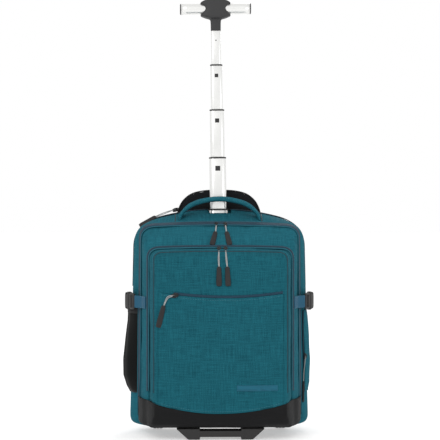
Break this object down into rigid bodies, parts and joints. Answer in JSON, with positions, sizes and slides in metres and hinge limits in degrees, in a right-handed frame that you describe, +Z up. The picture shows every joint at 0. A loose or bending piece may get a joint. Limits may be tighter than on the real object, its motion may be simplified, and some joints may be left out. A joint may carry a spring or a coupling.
{
  "type": "wheeled backpack",
  "caption": "Soft wheeled backpack with a telescopic pole, shoulder straps, front and side pockets, a front foot and two rear wheels.",
  "frame": {"origin": "on the floor, under the middle of the bag's bounding box", "axes": "+X to the right seen from the front, +Y from the front face to the back panel, +Z up"},
  "size_m": [0.3969, 0.2192, 0.8971],
  "materials": {
    "teal_cloth": "matte woven melange",
    "zip_tape": "matte woven tape",
    "black_cloth": "coated, low sheen",
    "stretch_mesh": "matte stretch knit",
    "padding": "matte spacer mesh",
    "webbing": "matte woven webbing",
    "teal_webbing": "matte woven webbing",
    "plastic": "fine moulded grain",
    "button": "satin",
    "rubber": "matte",
    "tyre": "matte",
    "silver": "satin, bright anodised"
  },
  "bodies": {
    "root": {"rear_compartment": "teal_cloth", "main_zipper": "zip_tape", "main_compartment": "teal_cloth", "pocket_zipper": "zip_tape", "front_pocket": "teal_cloth", "base_panel": "black_cloth", "flat_pocket": "teal_cloth", "flat_pocket_zipper": "zip_tape", "grab_handle": "teal_webbing", "rear_zipper_left": "zip_tape", "rear_zipper_right": "zip_tape", "back_panel": "padding", "strap_yoke": "padding", "shoulder_strap_left": "padding", "ladder_lock_left": "plastic", "strap_webbing_left": "webbing", "shoulder_strap_right": "padding", "ladder_lock_right": "plastic", "strap_webbing_right": "webbing", "buckle_socket_left": "plastic", "buckle_plug_left": "plastic", "side_strap_front_left": "teal_webbing", "side_strap_rear_left": "teal_webbing", "buckle_socket_right": "plastic", "buckle_plug_right": "plastic", "side_strap_front_right": "teal_webbing", "side_strap_rear_right": "teal_webbing", "bottle_pocket": "stretch_mesh", "side_pocket": "teal_cloth", "side_pocket_zip": "zip_tape", "wheel_housing_left": "plastic", "wheel_housing_right": "plastic", "chassis": "plastic", "front_foot": "plastic", "pole_outer_tube": "silver", "pole_grommet": "plastic", "zip_pull_main_left": "rubber", "zip_pull_main_right": "rubber", "zip_pull_pocket_left": "rubber", "zip_pull_pocket_right": "rubber", "zip_pull_flat_pocket": "rubber", "zip_pull_rear": "rubber", "zip_pull_side": "rubber"},
    "stage_4": {"pole_stage_4": "silver", "pole_lock_4": "plastic", "pole_collar_4": "plastic"},
    "stage_3": {"pole_stage_3": "silver", "pole_lock_3": "plastic", "pole_collar_3": "plastic"},
    "stage_2": {"pole_stage_2": "silver", "pole_lock_2": "plastic", "pole_collar_2": "plastic"},
    "stage_1": {"pole_stage_1": "silver", "handle_hub": "plastic", "handle_bar": "silver"},
    "button": {"release_button": "button"},
    "wheel_left": {"wheel_tyre_left": "tyre", "wheel_hub_left": "plastic"},
    "wheel_right": {"wheel_tyre_right": "tyre", "wheel_hub_right": "plastic"}
  },
  "joints": [
    {"name": "stage_4_slide", "type": "slide", "parent": "root", "child": "stage_4", "axis": [-0.0138, 0, 0.9999], "range_m": [-0.1045, 0]},
    {"name": "stage_3_slide", "type": "slide", "parent": "stage_4", "child": "stage_3", "axis": [-0.0138, 0, 0.9999], "range_m": [-0.0963, 0]},
    {"name": "stage_2_slide", "type": "slide", "parent": "stage_3", "child": "stage_2", "axis": [-0.0138, 0, 0.9999], "range_m": [-0.0907, 0]},
    {"name": "stage_1_slide", "type": "slide", "parent": "stage_2", "child": "stage_1", "axis": [-0.0138, 0, 0.9999], "range_m": [-0.07, 0]},
    {"name": "button_press", "type": "slide", "parent": "stage_1", "child": "button", "axis": [-0.0138, 0, 0.9999], "range_m": [-0.002, 0], "stiffness_N_per_m": 400},
    {"name": "wheel_left_spin", "type": "hinge", "parent": "root", "child": "wheel_left", "pos_m": [-0.128, 0.074, 0.03], "axis": [1, 0, 0], "continuous": true},
    {"name": "wheel_right_spin", "type": "hinge", "parent": "root", "child": "wheel_right", "pos_m": [0.128, 0.074, 0.03], "axis": [1, 0, 0], "continuous": true}
  ]
}
